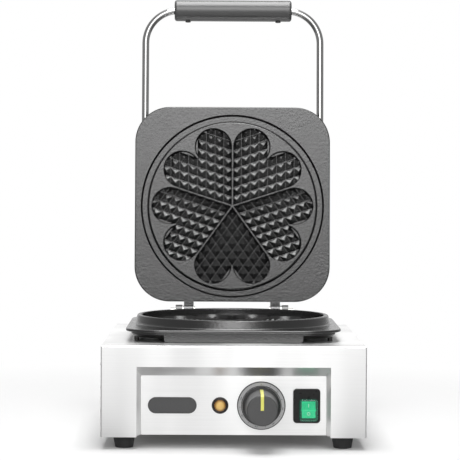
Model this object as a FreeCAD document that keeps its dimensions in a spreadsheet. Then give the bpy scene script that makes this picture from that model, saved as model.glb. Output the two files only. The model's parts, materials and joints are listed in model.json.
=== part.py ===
import FreeCAD, Part
import math
import os
import re

import Sketcher

# Countertop heart waffle maker: a steel housing carries the lower baking plate, and a hinged lid
# with the upper plate stands open over it. X runs to the right, Y to the back, Z up, in millimetres.
# The origin is on the table, under the middle of the whole object.

Vector = FreeCAD.Vector
doc = FreeCAD.newDocument("HeartWaffleMaker")
sheet = doc.addObject("Spreadsheet::Sheet", "Sizes")
cells = {}
rules = {}
nodes = []
WORD = re.compile(r"[A-Za-z_]\w*")
TOUCH = 1e-3


def sizes(**values):
    """Put driving dimensions into the sheet, each under its own alias."""
    for alias, number in values.items():
        row = len(cells) + 1
        sheet.set("A%d" % row, alias)
        sheet.set("B%d" % row, str(number))
        sheet.setAlias("B%d" % row, alias)
        cells[alias] = row
    sheet.recompute()


def derive(**places):
    """Name places and sizes that follow from the driving dimensions."""
    rules.update(places)


def full(rule):
    """Write a rule out in sheet cells."""

    def expand(match):
        word = match.group()
        if word in cells:
            return "Sizes." + word
        if word in rules:
            return "(" + full(rules[word]) + ")"
        return word

    return WORD.sub(expand, str(rule))


def val(rule):
    """The number that a rule comes to now."""
    return float(sheet.evalExpression(full(rule)))


def bind(thing, **properties):
    for name, rule in properties.items():
        thing.setExpression(name, full(rule))


def rect(left, low, right, high):
    return [(left, low), (right, low), (right, high), (left, high)]


def centred(x, y, width, height):
    """A rectangle round its middle."""
    return rect("%s - (%s) / 2" % (x, width), "%s - (%s) / 2" % (y, height),
                "%s + (%s) / 2" % (x, width), "%s + (%s) / 2" % (y, height))


def hexagon(x, y, radius):
    arm = "(%s) * %s(%d)"
    return [("%s + %s" % (x, arm % (radius, "cos", turn)), "%s + %s" % (y, arm % (radius, "sin", turn)))
            for turn in range(0, 360, 60)]


def circles(places, radius):
    return [(x, y, radius) for x, y in places]


def both_sides(shape):
    """A circle or polygon and its mirror image across X = 0."""
    if isinstance(shape, tuple):
        return [shape, ("-(%s)" % shape[0],) + shape[1:]]
    return [shape, [("-(%s)" % x, y) for x, y in reversed(shape)]]


def four(x, low_y, high_y):
    """Four places, mirrored left and right."""
    return [(side + "(%s)" % x, y) for side in "-+" for y in (low_y, high_y)]


def moved(places, along_y):
    return [(x, "%s + %s" % (y, along_y)) for x, y in places]


def level(axis, rule):
    """Picks what lies flat at one place along an axis."""

    def pick(box):
        low, high = getattr(box, axis + "Min"), getattr(box, axis + "Max")
        return abs(low - val(rule)) < TOUCH and abs(high - val(rule)) < TOUCH

    return pick


def along(axis):
    """Picks straight edges that run along an axis."""
    others = [other for other in "XYZ" if other != axis]
    return lambda box: all(getattr(box, other + "Length") < TOUCH for other in others)


def across(rule):
    """Picks what is one size wide along X."""
    return lambda box: abs(box.XLength - val(rule)) < TOUCH


def every(*picks):
    return lambda box: all(pick(box) for pick in picks)


def any_of(*picks):
    return lambda box: any(pick(box) for pick in picks)


class Piece:
    """One sub-part: a body with its sketches and features."""

    NORMAL = {"XY": 1, "XZ": -1, "YZ": 1}

    def __init__(self, label, node=True):
        self.body = doc.addObject("PartDesign::Body", label)
        self.body.Label = label
        if node:
            nodes.append(self.body)

    def sketch(self, plane, at, shapes):
        """Draw closed polygons (lists of corners) and circles (x, y, radius) on an origin plane."""
        drawing = self.body.newObject("Sketcher::SketchObject", self.body.Label + "_sketch")
        role = plane + "_Plane"
        support = next(part for part in self.body.Origin.OriginFeatures if part.Role == role)
        drawing.AttachmentSupport = (support, [""])
        drawing.MapMode = "FlatFace"
        drawing.setExpression("AttachmentOffset.Base.z", full("%d * (%s)" % (self.NORMAL[plane], at)))
        for shape in shapes:
            if isinstance(shape, tuple):
                self.circle(drawing, *shape)
            else:
                self.polygon(drawing, shape)
        return drawing

    def fix(self, drawing, item, point, x, y):
        """Hold a sketch point at its place from the sketch origin."""
        for kind, rule in (("DistanceX", x), ("DistanceY", y)):
            held = drawing.addConstraint(Sketcher.Constraint(kind, -1, 1, item, point, val(rule)))
            drawing.setExpression("Constraints[%d]" % held, full(rule))

    def fix_radius(self, drawing, item, radius):
        held = drawing.addConstraint(Sketcher.Constraint("Radius", item, val(radius)))
        drawing.setExpression("Constraints[%d]" % held, full(radius))

    def circle(self, drawing, x, y, radius):
        drawn = Part.Circle(Vector(val(x), val(y), 0), Vector(0, 0, 1), val(radius))
        item = drawing.addGeometry(drawn, False)
        self.fix(drawing, item, 3, x, y)
        self.fix_radius(drawing, item, radius)

    def polygon(self, drawing, corners):
        places = [Vector(val(x), val(y), 0) for x, y in corners]
        first = drawing.GeometryCount
        count = len(corners)
        for turn in range(count):
            drawing.addGeometry(Part.LineSegment(places[turn], places[(turn + 1) % count]), False)
        for turn in range(count):
            following = first + (turn + 1) % count
            drawing.addConstraint(Sketcher.Constraint("Coincident", first + turn, 2, following, 1))
            self.fix(drawing, first + turn, 1, *corners[turn])

    def feature(self, kind, profile):
        made = self.body.newObject("PartDesign::" + kind, "%s_%s" % (self.body.Label, kind))
        made.Profile = profile
        return made

    def pad(self, plane, start, end, *shapes):
        """Material from one place to another along the plane's axis."""
        made = self.feature("Pad", self.sketch(plane, start, shapes))
        made.Reversed = (val(end) - val(start)) * self.NORMAL[plane] < 0
        bind(made, Length="abs((%s) - (%s))" % (end, start))
        return self

    def pocket(self, plane, start, end, *shapes):
        """Material taken away from one place to another along the plane's axis."""
        made = self.feature("Pocket", self.sketch(plane, start, shapes))
        made.Reversed = (val(end) - val(start)) * self.NORMAL[plane] > 0
        bind(made, Length="abs((%s) - (%s))" % (end, start))
        return self

    def revolve(self, plane, shape, kind="Revolution"):
        """A full turn of a profile round the upright axis of its sketch."""
        made = self.feature(kind, self.sketch(plane, 0, [shape]))
        made.ReferenceAxis = (made.Profile[0], ["V_Axis"])
        made.Angle = 360
        return self

    def loft(self, kind, *sections):
        """A straight-sided loft through (plane, place, shape) sections."""
        drawings = [self.sketch(plane, at, [shape]) for plane, at, shape in sections]
        made = self.feature(kind, drawings[0])
        made.Sections = drawings[1:]
        made.Ruled = True
        return self

    def pipe(self, plane, at, corners, bend, start, radius):
        """A round bar along square corners, each bent to one radius, from the (plane, place, x, y) start."""
        spine = self.sketch(plane, at, [])
        runs = []
        for here, there in zip(corners, corners[1:]):
            gaps = [val(there[k]) - val(here[k]) for k in (0, 1)]
            step = [0 if abs(gap) < TOUCH else int(math.copysign(1, gap)) for gap in gaps]
            runs.append([step, list(here), list(there)])
        for before, after in zip(runs, runs[1:]):
            corner = after[1]
            before[2] = ["%s - %d * (%s)" % (corner[k], before[0][k], bend) for k in (0, 1)]
            after[1] = ["%s + %d * (%s)" % (corner[k], after[0][k], bend) for k in (0, 1)]

        def spot(place):
            return Vector(val(place[0]), val(place[1]), 0)

        for step, first, last in runs:
            item = spine.addGeometry(Part.LineSegment(spot(first), spot(last)), False)
            self.fix(spine, item, 1, *first)
            self.fix(spine, item, 2, *last)
        for turn, corner in enumerate(corners[1:-1]):
            enter, leave = spot(runs[turn][2]), spot(runs[turn + 1][1])
            centre = enter + leave - spot(corner)
            middle = centre + (spot(corner) - centre) / math.sqrt(2)
            item = spine.addGeometry(Part.Arc(enter, middle, leave), False)
            ends = (1, 2) if (enter - spine.getPoint(item, 1)).Length < TOUCH else (2, 1)
            spine.addConstraint(Sketcher.Constraint("Coincident", item, ends[0], turn, 2))
            spine.addConstraint(Sketcher.Constraint("Coincident", item, ends[1], turn + 1, 1))
            self.fix_radius(spine, item, bend)
        made = self.feature("AdditivePipe", self.sketch(start[0], start[1], [start[2:] + (radius,)]))
        made.Spine = (spine, [])
        return self

    def picked(self, kind, pick):
        """Names of the faces or edges whose bounding boxes a picker takes."""
        doc.recompute()
        found = getattr(self.body.Tip.Shape, kind + "s")
        return [kind + str(index + 1) for index, item in enumerate(found) if pick(item.BoundBox)]

    def dress(self, kind, base, **properties):
        made = self.body.newObject("PartDesign::" + kind, "%s_%s" % (self.body.Label, kind))
        made.Base = base
        bind(made, **properties)
        return made

    def round(self, radius, pick):
        base = (self.body.Tip, self.picked("Edge", pick))
        self.dress("Fillet", base, Radius=radius)
        return self

    def bevel(self, size, pick):
        base = (self.body.Tip, self.picked("Edge", pick))
        self.dress("Chamfer", base, Size=size)
        return self

    def shell(self, wall, pick):
        """Hollow the piece to a wall, open at the faces that a picker takes."""
        base = (self.body.Tip, self.picked("Face", pick))
        self.dress("Thickness", base, Value=wall).Reversed = True
        return self

    def place(self, x="0", y="0", z="0"):
        bind(self.body, **{"Placement.Base.x": x, "Placement.Base.y": y, "Placement.Base.z": z})
        return self

    def tip_over(self, angle):
        """Turn the piece about X."""
        turn = FreeCAD.Rotation(Vector(1, 0, 0), val(angle))
        self.body.Placement = FreeCAD.Placement(Vector(0, 0, 0), turn)
        bind(self.body, **{"Placement.Rotation.Angle": angle})
        return self


def add_screws(piece, plane, places, head, shank, start, bearing, tip):
    """Like screws with hexagon sockets: heads from start to bearing, shanks on to the tip."""
    piece.pad(plane, start, bearing, *circles(places, head))
    piece.pad(plane, bearing, tip, *circles(places, shank))
    socket_end = "%s + ((%s) - (%s)) * socket_depth_share" % (start, bearing, start)
    sockets = [hexagon(x, y, "(%s) * socket_radius_share" % head) for x, y in places]
    piece.pocket(plane, start, socket_end, *sockets)


def screws(label, *details):
    piece = Piece(label)
    add_screws(piece, *details)
    return piece


def add_nuts(piece, plane, places, radius, bore, start, end):
    piece.pad(plane, start, end, *[hexagon(x, y, radius) for x, y in places], *circles(places, bore))


# Fasteners and the plays that all pieces share.
sizes(
    overrun=5, seat_gap=0.2, screw_play=0.1, pin_play=0.05, socket_radius_share=0.5, socket_depth_share=0.6,
    m4_radius=2, m4_head_radius=3.6, m4_head_height=2.6, m4_nut_radius=3.8, m4_nut_height=3.2, m4_spare=2,
    m5_radius=2.5, m5_head_radius=4.25, m5_head_height=3, m5_nut_radius=4.6, m5_nut_height=4, m5_spare=2,
)
derive(m4_hole="m4_radius + screw_play", m5_hole="m5_radius + screw_play")


# Housing: one folded steel wrapper with top, sides and an inverted-U front frame. The legs of the
# frame turn in under the bottom, where the feet are screwed on.
sizes(
    housing_width=264.4, housing_height=91.1, sheet_wall=1.2, bend_radius=1.2, front_reach=150,
    leg_width=35.6, brow_height=21, hinge_setback=30.4,
)
derive(
    half_width="housing_width / 2", front_y="-front_reach", rear_y="hinge_y + hinge_setback",
    top_z="foot_height + housing_height", half_opening="half_width - leg_width",
    brow_z="top_z - brow_height", floor_z="foot_height + sheet_wall",
    inner_half="half_width - sheet_wall", ceiling_z="top_z - sheet_wall",
)

# Side louvres: hoods pressed out of each side, open downwards.
sizes(
    louvre_count=3, louvre_length=100, louvre_setback=20, louvre_first=23.5, louvre_pitch=23.2,
    louvre_rise=8, louvre_reach=2, louvre_lip=0.9,
)
derive(louvre_front="front_y + louvre_setback", louvre_rear="louvre_front + louvre_length")


def housing_shell():
    shell = Piece("housing_shell")
    shell.pad("XY", "foot_height", "top_z", rect("-half_width", "front_y", "half_width", "rear_y"))
    outer = any_of(level("X", "half_width"), level("X", "-half_width"))
    front, top = level("Y", "front_y"), level("Z", "top_z")
    shell.round("bend_radius", any_of(
        every(top, outer), every(front, top), every(front, outer), every(level("Z", "foot_height"), outer)))
    shell.pocket("XZ", "rear_y + overrun", "front_y + sheet_wall",
                 rect("-inner_half", "floor_z", "inner_half", "ceiling_z"))
    shell.pocket("XZ", "front_y - overrun", "front_y + sheet_wall",
                 rect("-half_opening", "foot_height - overrun", "half_opening", "brow_z"))
    shell.pocket("XY", "foot_height - overrun", "floor_z",
                 rect("-half_opening", "front_y - overrun", "half_opening", "rear_y + overrun"))
    shell.pocket("XY", "top_z + overrun", "ceiling_z - overrun", rect(
        "-pan_neck_half - pan_play", "pan_neck_front - pan_play",
        "pan_neck_half + pan_play", "pan_neck_rear + pan_play"))
    shell.pocket("XY", "top_z + overrun", "ceiling_z - overrun",
                 *circles(STUD_PLACES + STOP_PLACES, "m4_hole"), *circles(BRACKET_PLACES, "m5_hole"))
    shell.pocket("XY", "foot_height - overrun", "floor_z + overrun", *circles(FOOT_PLACES, "m5_hole"))
    hoods, mouths = [], []
    for turn in range(int(val("louvre_count"))):
        low = "foot_height + louvre_first + %d * louvre_pitch" % turn
        high = low + " + louvre_rise"
        hoods += both_sides([("inner_half", low), ("half_width + louvre_reach", low),
                             ("half_width", high), ("inner_half", high)])
        mouths += both_sides([("inner_half - overrun", low), ("half_width + louvre_reach - louvre_lip", low),
                              ("half_width - louvre_lip", high + " - louvre_lip"),
                              ("inner_half - overrun", high + " - louvre_lip")])
    shell.pad("XZ", "louvre_front", "louvre_rear", *hoods)
    shell.pocket("XZ", "louvre_front + louvre_lip", "louvre_rear - louvre_lip", *mouths)
    shell.pocket("YZ", "-half_width - overrun", "half_width + overrun",
                 *circles(PANEL_SCREW_PLACES, "m4_hole"))


# Feet: tapered rubber, each with a screw from below and a nut on the bottom plate.
sizes(
    foot_height=12.2, foot_top_radius=11.15, foot_base_radius=9, foot_edge=1.6, foot_inset=22.6,
    foot_setback=19.2, foot_well_radius=5.2, foot_well_depth=6,
)
derive(
    foot_x="half_width - foot_inset", foot_front_y="front_y + foot_setback",
    foot_rear_y="rear_y - foot_setback",
)
FOOT_PLACES = four("foot_x", "foot_front_y", "foot_rear_y")


def feet():
    for name, x in (("left", "-foot_x"), ("right", "foot_x")):
        for end, y in (("front", "foot_front_y"), ("rear", "foot_rear_y")):
            foot = Piece("foot_%s_%s" % (end, name))
            foot.revolve("XZ", [
                ("m5_hole", "foot_height"), ("foot_top_radius", "foot_height"), ("foot_base_radius", "0"),
                ("foot_well_radius", "0"), ("foot_well_radius", "foot_well_depth"),
                ("m5_hole", "foot_well_depth")])
            foot.round("foot_edge", every(
                level("Z", "0"), lambda box: box.XMax > val("foot_base_radius") - TOUCH))
            foot.place(x, y)
    screws("foot_screws", "XY", FOOT_PLACES, "m5_head_radius", "m5_radius",
           "foot_well_depth - m5_head_height", "foot_well_depth", "bottom_top + m5_nut_height + m5_spare")


# Control panel: a tray behind the front frame, with sloping returns at its top and sides and a fold
# line down each side. The controls sit in one row along its middle.
sizes(
    recess_depth=12, panel_side_slope=3.8, panel_top_drop=9.6, panel_lap=8, seam_width=1, seam_depth=0.8,
    badge_offset=61.3, lamp_offset=13.5, knob_offset=27.7, switch_offset=73.1,
)
derive(
    panel_y="front_y + recess_depth", frame_back="front_y + sheet_wall", panel_back="panel_y + sheet_wall",
    half_panel="half_opening - panel_side_slope", panel_top="brow_z - panel_top_drop",
    control_z="(floor_z + panel_top) / 2",
)


def control_panel():
    panel = Piece("control_panel")
    panel.pad("XZ", "frame_back", "frame_back + sheet_wall", rect(
        "-half_opening - panel_lap", "floor_z", "half_opening + panel_lap", "brow_z + panel_lap"))
    outside = "half_opening + sheet_wall"
    inside = "half_panel + sheet_wall"
    panel.loft("AdditiveLoft",
               ("XZ", "frame_back", rect("-(%s)" % outside, "floor_z", outside, "brow_z + sheet_wall")),
               ("XZ", "panel_back", rect("-(%s)" % inside, "floor_z", inside, "panel_top + sheet_wall")))
    panel.loft("SubtractiveLoft",
               ("XZ", "frame_back", rect("-half_opening", "floor_z - overrun", "half_opening", "brow_z")),
               ("XZ", "panel_y", rect("-half_panel", "floor_z - overrun", "half_panel", "panel_top")))
    panel.pocket("XZ", "panel_y - overrun", "panel_y + seam_depth", *both_sides(
        rect("half_panel - seam_width", "floor_z - overrun", "half_panel", "panel_top")))
    panel.pocket("XZ", "panel_y - overrun", "panel_back + overrun",
                 ("-lamp_offset", "control_z", "lamp_body_radius + seat_gap"),
                 ("knob_offset", "control_z", "spindle_radius + spindle_play"),
                 *circles(THERMOSTAT_SCREW_PLACES, "m4_hole"),
                 centred("switch_offset", "control_z", "switch_body_width + 2 * seat_gap",
                         "switch_body_height + 2 * seat_gap"))


# Bottom plate with vent slots, and the rear panel with side flanges that take the case screws.
sizes(
    vent_count=6, vent_pitch=9, vent_width=4, vent_length=70, bottom_gap=0.3, panel_flange=14,
    panel_screw_low=18, panel_screw_high=17.5,
)
derive(
    bottom_front="panel_back + bottom_gap", bottom_top="floor_z + sheet_wall",
    rear_in="rear_y - sheet_wall", half_rear="inner_half - seat_gap", rear_low="bottom_top + seat_gap",
    rear_high="ceiling_z - seat_gap", panel_screw_y="rear_y - panel_flange / 2",
)
PANEL_SCREW_PLACES = [("panel_screw_y", "foot_height + panel_screw_low"),
                      ("panel_screw_y", "top_z - panel_screw_high")]


def vents(x, middle):
    """A ladder of slots, each long along X."""
    steps = ["(%d - (vent_count - 1) / 2) * vent_pitch" % turn for turn in range(int(val("vent_count")))]
    return [centred(x, "%s + %s" % (middle, step), "vent_length", "vent_width") for step in steps]


def bottom_plate():
    plate = Piece("bottom_plate")
    plate.pad("XY", "floor_z", "bottom_top",
              rect("-half_rear", "bottom_front", "half_rear", "rear_in - seat_gap"))
    plate.pocket("XY", "floor_z - overrun", "bottom_top + overrun", *vents("0", "plate_y"))
    plate.pocket("XY", "floor_z - overrun", "bottom_top + overrun", *circles(FOOT_PLACES, "m5_hole"),
                 *circles(TERMINAL_PLACES, "m4_hole"), ("earth_offset", "earth_y", "m5_hole"))


def rear_panel():
    panel = Piece("rear_panel")
    panel.pad("XZ", "rear_y", "rear_in", rect("-half_rear", "rear_low", "half_rear", "rear_high"))
    flange = rect("half_rear - sheet_wall", "rear_low", "half_rear", "rear_high")
    panel.pad("XZ", "rear_in", "rear_y - panel_flange", *both_sides(flange))
    panel.pocket("XZ", "rear_y + overrun", "rear_in - overrun",
                 ("-gland_offset", "gland_z", "gland_neck + screw_play"),
                 ("gland_offset", "conduit_z", "conduit_neck + screw_play"),
                 *vents("0", "(rear_low + rear_high) / 2"))
    panel.pocket("YZ", "-half_width - overrun", "half_width + overrun",
                 *circles(PANEL_SCREW_PLACES, "m4_hole"))
    head = "half_width + m4_head_height"
    tip = "half_rear - sheet_wall - m4_spare"
    fixings = Piece("rear_panel_screws")
    for side in "-+":
        add_screws(fixings, "YZ", PANEL_SCREW_PLACES, "m4_head_radius", "m4_radius",
                   side + "(%s)" % head, side + "half_width", side + "(%s)" % tip)


# Terminal block and earth bolt on the bottom plate.
sizes(
    terminal_offset=60, terminal_setback=60, terminal_width=42, terminal_depth=20, terminal_height=16,
    terminal_poles=3, terminal_pitch=10, terminal_hole_radius=3, terminal_fix_half=15, earth_offset=60,
    earth_setback=55, earth_stem=9,
)
derive(
    terminal_y="rear_y - terminal_setback", terminal_top="bottom_top + terminal_height",
    earth_y="rear_y - earth_setback",
)
TERMINAL_PLACES = [("-terminal_offset - terminal_fix_half", "terminal_y"),
                   ("-terminal_offset + terminal_fix_half", "terminal_y")]


def terminals():
    block = Piece("terminal_block")
    block.pad("XY", "bottom_top", "terminal_top",
              centred("-terminal_offset", "terminal_y", "terminal_width", "terminal_depth"))
    steps = ["(%d - (terminal_poles - 1) / 2) * terminal_pitch" % turn
             for turn in range(int(val("terminal_poles")))]
    block.pocket("XZ", "terminal_y - terminal_depth", "terminal_y + terminal_depth", *[
        ("-terminal_offset + " + step, "(bottom_top + terminal_top) / 2", "terminal_hole_radius")
        for step in steps])
    block.pocket("XY", "bottom_top - overrun", "terminal_top + overrun",
                 *circles(TERMINAL_PLACES, "m4_hole"))
    screws("terminal_screws", "XY", TERMINAL_PLACES, "m4_head_radius", "m4_radius",
           "terminal_top + m4_head_height", "terminal_top", "floor_z - m4_spare")
    earth = screws("earth_bolt", "XY", [("earth_offset", "earth_y")], "m5_head_radius", "m5_radius",
                   "floor_z - m5_head_height", "floor_z", "bottom_top + m5_nut_height + earth_stem")
    earth.pad("XY", "bottom_top", "bottom_top + m5_nut_height",
              hexagon("earth_offset", "earth_y", "m5_nut_radius"))


# Baking plates: square castings with round corners. The lower one stands on studs over the housing,
# and its raised round rim, a little behind its middle, holds the batter.
sizes(
    plate_side=222, plate_corner=40, plate_setback=36, plate_lift=9.6, flange_wall=3, flange_round=1.2,
    skirt_drop=5.5, skirt_inset=5.7, skirt_bevel=3.2, rim_setback=14, rim_shift=2, rim_height=9.2,
    rim_wall=5, rim_draft=2, rim_fillet=2.8, well_depth=6.5, stud_inset=5.8, stud_setback=34, stud_radius=2.5,
    stud_end_gap=0.5,
)
derive(
    half_plate="plate_side / 2", plate_front="front_y + plate_setback", plate_y="plate_front + half_plate",
    plate_rear="plate_front + plate_side", flange_z="top_z + plate_lift", flange_top="flange_z + flange_wall",
    skirt_z="flange_z - skirt_drop", half_skirt="half_plate - skirt_inset", rim_y="plate_y + rim_shift",
    rim_inner_radius="half_plate - rim_setback", rim_outer_radius="rim_inner_radius + rim_wall",
    rim_root_radius="rim_outer_radius + rim_draft", rim_top="flange_top + rim_height",
    well_z="rim_top - well_depth", stud_spread="half_skirt - stud_inset",
    stud_front="plate_front + stud_setback", stud_rear="plate_rear - stud_setback",
    stud_end="flange_z - stud_end_gap",
)
STUD_PLACES = four("stud_spread", "stud_front", "stud_rear")

# Heart cavities: five hearts meet at the middle of a plate, with thin walls between them. Each has
# straight sides, two round lobes, a flat floor and rows of pyramids, which its sides cut off.
sizes(
    heart_count=5, heart_margin=4.2, heart_wall=1.2, heart_floor_wall=4.2, heart_depth=5.4,
    pyramid_pitch=10.55, pyramid_height=3.1, pyramid_groove=0.4, pyramid_tip=0.7, heart_overrun=1,
    foot_share=0.6,
)
derive(
    heart_sector="180 / heart_count",
    lobe_reach="(rim_inner_radius - heart_margin) / (1 + sin(heart_sector / 2))",
)


def heart_outline(wall, z):
    """A heart with its tip at the origin and its axis along X, half a wall inside its sector."""
    sector = math.radians(val("heart_sector"))
    reach = val("lobe_reach")
    radius = reach * math.sin(sector / 2) - wall / 2
    centre = Vector(reach * math.cos(sector / 2), reach * math.sin(sector / 2), z)

    def on_lobe(angle):
        return centre + Vector(math.cos(angle), math.sin(angle), 0) * radius

    def mirrored(point):
        return Vector(point.x, -point.y, point.z)

    tip = Vector(wall / 2 / math.sin(sector), 0, z)
    side, middle, cleft = on_lobe(sector + math.pi / 2), on_lobe(sector / 2), on_lobe(-math.pi / 2)
    return Part.Wire([
        Part.LineSegment(tip, side).toShape(),
        Part.Arc(side, middle, cleft).toShape(),
        Part.LineSegment(cleft, mirrored(cleft)).toShape(),
        Part.Arc(mirrored(cleft), mirrored(middle), mirrored(side)).toShape(),
        Part.LineSegment(mirrored(side), tip).toShape(),
    ])


def pyramid(centre, side_a, side_b, low, floor, high):
    """A rhombic pyramid with a small flat tip, that stands on a floor and is rooted below it."""

    def ring(side, z):
        half_a, half_b = side_a * (side / 2), side_b * (side / 2)
        corners = [centre + half_a + half_b, centre - half_a + half_b,
                   centre - half_a - half_b, centre + half_a - half_b]
        return Part.makePolygon([Vector(corner.x, corner.y, z) for corner in corners + corners[:1]])

    base = val("pyramid_pitch - pyramid_groove")
    return Part.makeLoft([ring(base, low), ring(base, floor), ring(val("pyramid_tip"), high)], True, True)


def stands_on(floor_face, centre, side_a, side_b):
    """Whether enough of a pyramid's foot lies on a heart's floor."""
    half = val("pyramid_pitch * foot_share / 2")
    spots = [centre + side_a * (half * a) + side_b * (half * b) for a in (-1, 0, 1) for b in (-1, 0, 1)]
    return any(floor_face.isInside(spot, TOUCH, True) for spot in spots)


def heart():
    """What one heart takes out of a plate, with the plate's face at Z = 0 and the floor below it."""
    sector = math.radians(val("heart_sector"))
    floor, over, pitch = -val("heart_depth"), val("heart_overrun"), val("pyramid_pitch")
    spread = val("(heart_floor_wall - heart_wall) / heart_depth * heart_overrun")
    mouth = heart_outline(val("heart_wall") - spread, over)
    bottom = heart_outline(val("heart_floor_wall"), floor)
    floor_face = Part.Face(bottom)
    side_a = Vector(math.cos(sector), math.sin(sector), 0)
    side_b = Vector(math.cos(sector), -math.sin(sector), 0)
    count = math.ceil(val("rim_inner_radius") / pitch)
    teeth = []
    for i in range(count):
        for j in range(count):
            centre = (side_a * (i + 1 / 2) + side_b * (j + 1 / 2)) * pitch
            if stands_on(floor_face, centre + Vector(0, 0, floor), side_a, side_b):
                peak = floor + val("pyramid_height")
                teeth.append(pyramid(centre, side_a, side_b, floor - over, floor, peak))
    return Part.makeLoft([mouth, bottom], True, True).cut(Part.makeCompound(teeth))


def ring_of_hearts(one, turned_over):
    """All hearts round the plate's middle; turned over, they cut upwards."""
    copies = []
    for number in range(int(val("heart_count"))):
        copy = one.copy()
        if turned_over:
            copy.rotate(Vector(0, 0, 0), Vector(1, 0, 0), 180)
        copy.rotate(Vector(0, 0, 0), Vector(0, 0, 1), 90 + number * 2 * val("heart_sector"))
        copies.append(copy)
    return Part.makeCompound(copies)


def cut_hearts(label, solids, cavities):
    """Join the solids of a casting and cut its hearts."""
    blank = doc.addObject("Part::MultiFuse", label + "_blank")
    blank.Shapes = [piece.body for piece in solids]
    casting = doc.addObject("Part::Cut", label)
    casting.Label = label
    casting.Base, casting.Tool = blank, cavities
    nodes.append(casting)


def lower_plate(one_heart):
    flange = Piece("lower_plate_flange", node=False)
    flange.pad("XY", "flange_z", "flange_top", centred("0", "-rim_shift", "plate_side", "plate_side"))
    flange.round("plate_corner", along("Z"))
    flange.round("flange_round", any_of(level("Z", "flange_top"), level("Z", "flange_z")))
    flange.revolve("XZ", [
        ("0", "flange_z"), ("rim_root_radius", "flange_z"), ("rim_root_radius", "flange_top"),
        ("rim_outer_radius", "rim_top"), ("rim_inner_radius", "rim_top"), ("rim_inner_radius", "well_z"),
        ("0", "well_z")])
    flange.round("flange_round", level("Z", "rim_top"))
    flange.round("rim_fillet", every(level("Z", "flange_top"), across("2 * rim_root_radius")))
    skirt = Piece("lower_plate_skirt", node=False)
    bosses, studs = moved(BOSS_PLACES, "-plate_y"), moved(STUD_PLACES, "-plate_y")
    skirt.pad("XY", "skirt_z", "flange_z", centred("0", "0", "2 * half_skirt", "2 * half_skirt"))
    skirt.round("plate_corner - skirt_inset", along("Z"))
    skirt.bevel("skirt_bevel", level("Z", "skirt_z"))
    skirt.pad("XY", "skirt_z", "lower_clamp_z", *circles(bosses, "boss_radius"))
    skirt.pocket("XY", "lower_clamp_z", "skirt_z", *circles(bosses, "m4_hole"))
    skirt.pocket("XY", "skirt_z - overrun", "stud_end", *circles(studs, "m4_hole"))
    flange.place(y="rim_y")
    skirt.place(y="plate_y")
    cavities = doc.addObject("Part::Feature", "lower_hearts")
    cavities.Shape = ring_of_hearts(one_heart, False)
    bind(cavities, **{"Placement.Base.y": "rim_y", "Placement.Base.z": "well_z"})
    cut_hearts("lower_plate", [flange, skirt], cavities)
    nut_z = "ceiling_z - sheet_wall"
    pillars = Piece("plate_studs")
    pillars.pad("XY", "top_z", "skirt_z", *circles(STUD_PLACES, "stud_radius"))
    pillars.pad("XY", "skirt_z", "stud_end - screw_play", *circles(STUD_PLACES, "m4_radius"))
    pillars.pad("XY", "top_z", nut_z + " - m4_nut_height - m4_spare", *circles(STUD_PLACES, "m4_radius"))
    add_nuts(Piece("plate_stud_nuts"), "XY", STUD_PLACES, "m4_nut_radius", "m4_radius + pin_play",
             nut_z, nut_z + " - m4_nut_height")


# Heaters: hairpin tubes clamped to the backs of the plates by flat bars.
sizes(
    heater_radius=4, heater_spread=45, heater_bend=38, heater_setback=35, heater_gap=0.1,
    heater_pin_radius=1.6, heater_pin_length=14, heater_pin_gap=3, clamp_wall=2.4, clamp_play=2.5,
    clamp_depth=14, clamp_spread=40, boss_radius=6, wire_hole_radius=4,
)
derive(
    heater_front="plate_front + heater_setback", heater_rear="heater_pin_end - heater_pin_length",
    heater_pin_end="lid_cover_rear_y - sheet_wall - heater_pin_gap",
    boss_height="2 * heater_radius + heater_gap", lower_clamp_z="skirt_z - boss_height",
    lower_clamp_low="lower_clamp_z - clamp_wall", clamp_half="pan_neck_half - pan_wall - clamp_play",
    lower_heater_z="skirt_z - heater_gap - heater_radius",
)
CLAMP_YS = ("plate_y - clamp_spread", "plate_y + clamp_spread")
BOSS_PLACES = [("0", y) for y in CLAMP_YS]


def heater(label, z):
    """A hairpin tube with a terminal pin at each end."""
    tube = Piece(label)
    tube.pipe("XY", z, [("-heater_spread", "heater_rear"), ("-heater_spread", "heater_front"),
                        ("heater_spread", "heater_front"), ("heater_spread", "heater_rear")],
              "heater_bend", ("XZ", "heater_rear", "-heater_spread", z), "heater_radius")
    tube.pad("XZ", "heater_rear", "heater_pin_end",
             *both_sides(("heater_spread", z, "heater_pin_radius")))
    return tube


def clamp_bars(label, low, high):
    bars = Piece(label)
    bars.pad("XY", low, high, *[centred("0", y, "2 * clamp_half", "clamp_depth") for y in CLAMP_YS])
    bars.pocket("XY", low, high, *circles(BOSS_PLACES, "m4_hole"))
    return bars


# Pan under the lower plate: its shoulders lie over the housing's top and its neck goes through it.
sizes(
    pan_width=141, pan_setback=2, pan_wall=3.5, pan_neck_inset=8.5, pan_depth=12, pan_floor=3,
    pan_rest=0.4, pan_corner=3, pan_play=3,
)
derive(
    half_pan="pan_width / 2", pan_front="plate_front + pan_setback", pan_rear="plate_rear - pan_setback",
    pan_neck_half="half_pan - pan_neck_inset", pan_neck_front="pan_front + pan_neck_inset",
    pan_neck_rear="pan_rear - pan_neck_inset", pan_shoulder_z="top_z + pan_rest",
    pan_low_z="top_z - pan_depth", pan_floor_z="pan_low_z + pan_floor",
    pan_strip="skirt_inset - pan_setback - seat_gap",
)


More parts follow.
